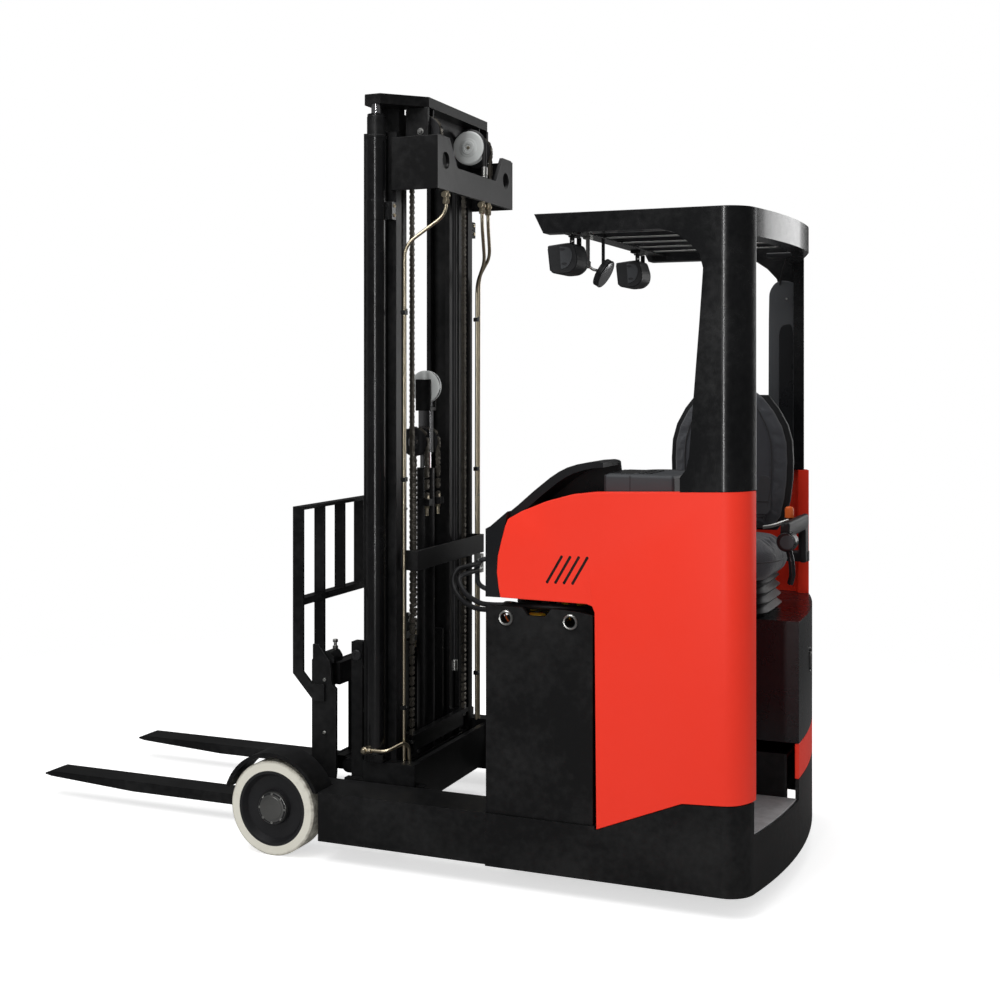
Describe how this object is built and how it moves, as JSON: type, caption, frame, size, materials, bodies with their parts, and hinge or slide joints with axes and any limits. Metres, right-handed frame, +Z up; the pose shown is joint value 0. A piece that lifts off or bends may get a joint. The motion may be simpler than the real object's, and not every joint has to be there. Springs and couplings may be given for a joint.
{
  "type": "electric reach truck",
  "caption": "Sit-on electric reach truck with a moving telescopic mast, tilting side-shifting forks, support legs and a cab with an overhead guard.",
  "frame": {"origin": "middle of the truck's length and width, on the floor", "axes": "+X towards the fork tips, +Y to the truck's left, +Z up"},
  "size_m": [2.955, 1.27, 2.689],
  "materials": {
    "frame_black": "satin",
    "battery_black": "satin",
    "panel_red": "satin",
    "cover_black": "satin",
    "tread_metal": "worn",
    "seat_cloth": "woven",
    "load_tread": "satin",
    "drive_tread": "matt",
    "hub_metal": "satin",
    "pipe_zinc": "satin",
    "rod_chrome": "polished",
    "chain_steel": "oiled",
    "pulley_white": "satin"
  },
  "bodies": {
    "chassis": {"legs": "frame_black", "base_frame": "frame_black", "floor_sheets": "tread_metal", "battery": "battery_black", "side_left": "panel_red", "side_right": "panel_red", "bonnet": "cover_black", "bulkhead": "frame_black", "seat_box": "cover_black", "rear_band": "panel_red", "seat_base": "cover_black", "seat_cushion": "seat_cloth", "backrest": "seat_cloth", "armrest": "cover_black", "dash": "cover_black", "steering_wheel": "cover_black", "guard_sides": "frame_black", "guard_roof": "frame_black", "lamps": "cover_black", "rear_mirror": "cover_black", "drive_motor": "hub_metal"},
    "load_wheel_left": {"tyre_left": "load_tread", "hub_left": "hub_metal"},
    "load_wheel_right": {"tyre_right": "load_tread", "hub_right": "hub_metal"},
    "steer_unit": {"drive_head": "hub_metal"},
    "drive_wheel": {"drive_tyre": "drive_tread", "drive_hub": "hub_metal"},
    "reach_carriage": {"reach_frame": "frame_black", "outer_mast": "frame_black", "lift_tubes": "frame_black", "mast_pipes": "pipe_zinc"},
    "middle_stage": {"middle_mast": "frame_black", "lift_rods": "rod_chrome", "head_pulley": "pulley_white", "lift_chains": "chain_steel"},
    "inner_stage": {"inner_mast": "frame_black", "free_tube": "frame_black"},
    "free_ram": {"free_rod": "rod_chrome", "free_chains": "chain_steel"},
    "lift_carriage": {"carriage": "frame_black"},
    "tilt_frame": {"fork_frame": "frame_black"},
    "shift_frame": {"shift_plates": "frame_black", "load_guard": "frame_black", "forks": "frame_black"}
  },
  "joints": [
    {"name": "load_wheel_left_spin", "type": "hinge", "parent": "chassis", "child": "load_wheel_left", "pos_m": [0.2675, 0.58, 0.165], "axis": [0, 1, 0], "continuous": true},
    {"name": "load_wheel_right_spin", "type": "hinge", "parent": "chassis", "child": "load_wheel_right", "pos_m": [0.2675, -0.58, 0.165], "axis": [0, 1, 0], "continuous": true},
    {"name": "drive_steer", "type": "hinge", "parent": "chassis", "child": "steer_unit", "pos_m": [-1.1725, -0.16, 0.38], "axis": [0, 0, 1], "range_deg": [-90, 90]},
    {"name": "drive_wheel_spin", "type": "hinge", "parent": "steer_unit", "child": "drive_wheel", "pos_m": [-1.1725, -0.16, 0.165], "axis": [0, 1, 0], "continuous": true},
    {"name": "mast_reach", "type": "slide", "parent": "chassis", "child": "reach_carriage", "axis": [1, 0, 0], "range_m": [-0.27, 0.3]},
    {"name": "middle_lift", "type": "slide", "parent": "reach_carriage", "child": "middle_stage", "axis": [0, 0, 1], "range_m": [0, 1.7]},
    {"name": "inner_lift", "type": "slide", "parent": "middle_stage", "child": "inner_stage", "axis": [0, 0, 1], "range_m": [0, 1.7], "deforming": ["lift_chains"]},
    {"name": "free_lift", "type": "slide", "parent": "inner_stage", "child": "free_ram", "axis": [0, 0, 1], "range_m": [0, 0.68]},
    {"name": "carriage_lift", "type": "slide", "parent": "free_ram", "child": "lift_carriage", "axis": [0, 0, 1], "range_m": [0, 0.68], "deforming": ["free_chains"]},
    {"name": "fork_tilt", "type": "hinge", "parent": "lift_carriage", "child": "tilt_frame", "pos_m": [0.1355, 0, 0.25], "axis": [0, 1, 0], "range_deg": [-3, 3]},
    {"name": "side_shift", "type": "slide", "parent": "tilt_frame", "child": "shift_frame", "axis": [0, 1, 0], "range_m": [-0.05, 0.05]}
  ],
  "couplings": [
    {"joint": "inner_lift", "follows": "middle_lift", "ratio": 1},
    {"joint": "carriage_lift", "follows": "free_lift", "ratio": 1}
  ]
}
